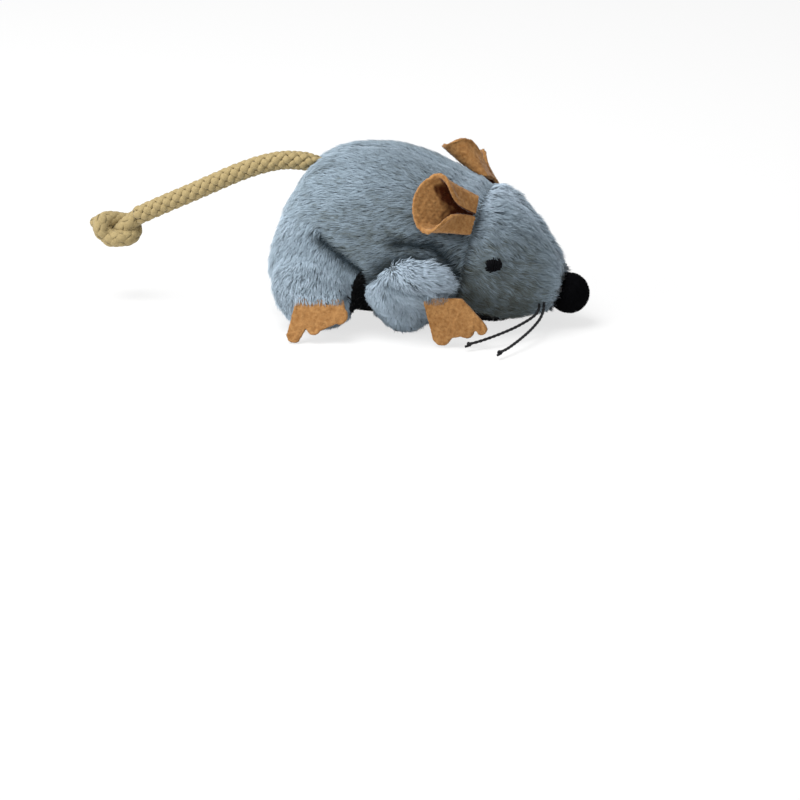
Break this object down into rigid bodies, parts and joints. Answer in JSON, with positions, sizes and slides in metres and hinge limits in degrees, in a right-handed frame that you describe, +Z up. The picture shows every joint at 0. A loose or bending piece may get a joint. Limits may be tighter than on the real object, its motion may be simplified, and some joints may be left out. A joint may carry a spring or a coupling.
{
  "type": "plush mouse cat toy",
  "caption": "Small stuffed pile-cloth mouse with folded felt ears, felt paws, black nose, cord whiskers and a knotted cotton rope tail.",
  "frame": {"origin": "on the surface the toy rests on, below the middle of the body's box without tail and whiskers", "axes": "+Z up, +X from the rump towards the nose, +Y to the mouse's left; apart from the lie of the ears, the toy is mirrored about the XZ plane"},
  "size_m": [0.1602, 0.0754, 0.0555],
  "materials": {
    "pile_cloth": "short blue-grey plush pile",
    "black_cloth": "matt black short-nap cloth",
    "polyester_fibre": "loose white polyester filling",
    "felt": "tan pressed felt",
    "eye_thread": "black satin stitch thread",
    "nose_flock": "matt black flocked ball",
    "waxed_cord": "black waxed cord",
    "cotton_rope": "natural beige braided cotton"
  },
  "bodies": {
    "stuffed_body": {"back_panel_right": "pile_cloth", "back_panel_left": "pile_cloth", "head_panel_right": "pile_cloth", "head_panel_left": "pile_cloth", "hind_leg_right": "pile_cloth", "hind_leg_left": "pile_cloth", "front_leg_right": "pile_cloth", "front_leg_left": "pile_cloth", "belly_panel": "black_cloth", "body_stuffing": "polyester_fibre", "hind_leg_stuffing_right": "polyester_fibre", "hind_leg_stuffing_left": "polyester_fibre", "front_leg_stuffing_right": "polyester_fibre", "front_leg_stuffing_left": "polyester_fibre", "eye_right": "eye_thread", "eye_left": "eye_thread", "nose": "nose_flock", "inner_whisker_right": "waxed_cord", "inner_whisker_left": "waxed_cord", "outer_whisker_right": "waxed_cord", "outer_whisker_left": "waxed_cord"},
    "tail": {"tail_rope": "cotton_rope"},
    "ear_right": {"ear_right": "felt"},
    "ear_left": {"ear_left": "felt"},
    "front_paw_right": {"front_paw_right": "felt"},
    "front_paw_left": {"front_paw_left": "felt"},
    "hind_paw_right": {"hind_paw_right": "felt"},
    "hind_paw_left": {"hind_paw_left": "felt"}
  },
  "joints": [
    {"name": "tail_swing", "type": "hinge", "parent": "stuffed_body", "child": "tail", "pos_m": [-0.0355, 0, 0.0484], "axis": [-0.6298, 0, 0.7768], "range_deg": [-30, 30]},
    {"name": "ear_lift_right", "type": "hinge", "parent": "stuffed_body", "child": "ear_right", "pos_m": [0.0174, -0.0168, 0.0392], "axis": [0.131, 0.4529, 0.8819], "range_deg": [0, 25]},
    {"name": "front_paw_flap_right", "type": "hinge", "parent": "stuffed_body", "child": "front_paw_right", "pos_m": [0.0086, -0.0286, 0.0159], "axis": [-1, 0, 0], "range_deg": [0, 40]},
    {"name": "hind_paw_flap_right", "type": "hinge", "parent": "stuffed_body", "child": "hind_paw_right", "pos_m": [-0.031, -0.0289, 0.0138], "axis": [-1, 0, 0], "range_deg": [0, 40]},
    {"name": "ear_lift_left", "type": "hinge", "parent": "stuffed_body", "child": "ear_left", "pos_m": [0.0173, 0.0168, 0.039], "axis": [0.2009, 0.8557, -0.4768], "range_deg": [0, 25]},
    {"name": "front_paw_flap_left", "type": "hinge", "parent": "stuffed_body", "child": "front_paw_left", "pos_m": [0.0086, 0.0286, 0.0159], "axis": [1, 0, 0], "range_deg": [0, 40]},
    {"name": "hind_paw_flap_left", "type": "hinge", "parent": "stuffed_body", "child": "hind_paw_left", "pos_m": [-0.031, 0.0289, 0.0138], "axis": [1, 0, 0], "range_deg": [0, 40]}
  ]
}
